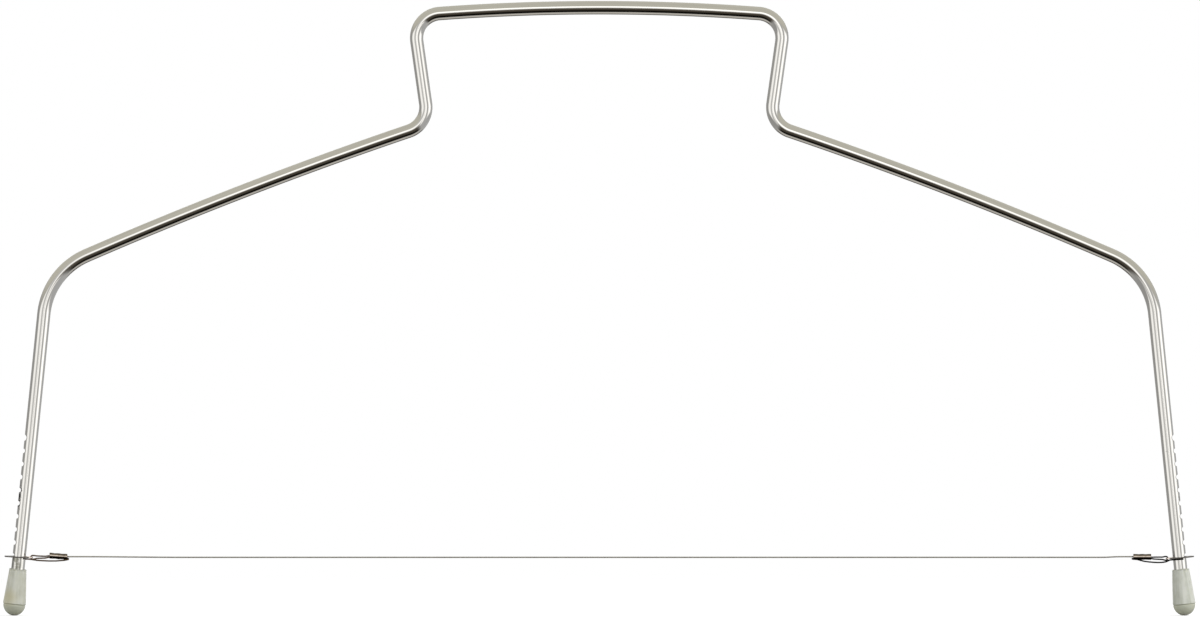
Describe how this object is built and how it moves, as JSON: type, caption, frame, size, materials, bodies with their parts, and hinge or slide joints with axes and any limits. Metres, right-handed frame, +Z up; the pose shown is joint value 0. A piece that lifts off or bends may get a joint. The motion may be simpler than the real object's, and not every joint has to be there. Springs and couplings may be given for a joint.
{
  "type": "wire cake leveler",
  "caption": "Adjustable wire cake leveler: a bent steel rod with a raised grip, notched legs with soft foot caps, and a taut cutting wire that slides up and down the legs.",
  "frame": {"origin": "the point on the ground midway between the tips of the two foot caps, with the tool standing upright", "axes": "+X along the cutting wire towards the right foot, +Y through the tool's thickness away from the viewer, +Z up from the feet to the grip"},
  "size_m": [0.3102, 0.006, 0.1598],
  "materials": {
    "rod_steel": "bright drawn and polished stainless rod",
    "foot_rubber": "matte soft moulded cap, pale grey-green",
    "wire_steel": "bright spring wire",
    "tab_steel": "stamped sheet, lightly tumbled",
    "ferrule_nickel": "dull nickel-plated crimp sleeve"
  },
  "bodies": {
    "root": {"frame": "rod_steel", "left_foot": "foot_rubber", "right_foot": "foot_rubber"},
    "wire": {"cutting_wire": "wire_steel"},
    "left_end": {"left_tab": "tab_steel", "left_wire_eye": "wire_steel", "left_ferrule": "ferrule_nickel"},
    "right_end": {"right_tab": "tab_steel", "right_wire_eye": "wire_steel", "right_ferrule": "ferrule_nickel"}
  },
  "joints": [
    {"name": "wire_height", "type": "slide", "parent": "root", "child": "wire", "axis": [0, 0, 1], "range_m": [0, 0.03062]},
    {"name": "left_end_height", "type": "slide", "parent": "root", "child": "left_end", "axis": [0.1011, 0, 0.9949], "range_m": [0, 0.03079]},
    {"name": "right_end_height", "type": "slide", "parent": "root", "child": "right_end", "axis": [-0.1011, 0, 0.9949], "range_m": [0, 0.03079]}
  ],
  "couplings": [
    {"joint": "left_end_height", "follows": "wire_height", "ratio": 1.0051},
    {"joint": "right_end_height", "follows": "wire_height", "ratio": 1.0051}
  ]
}
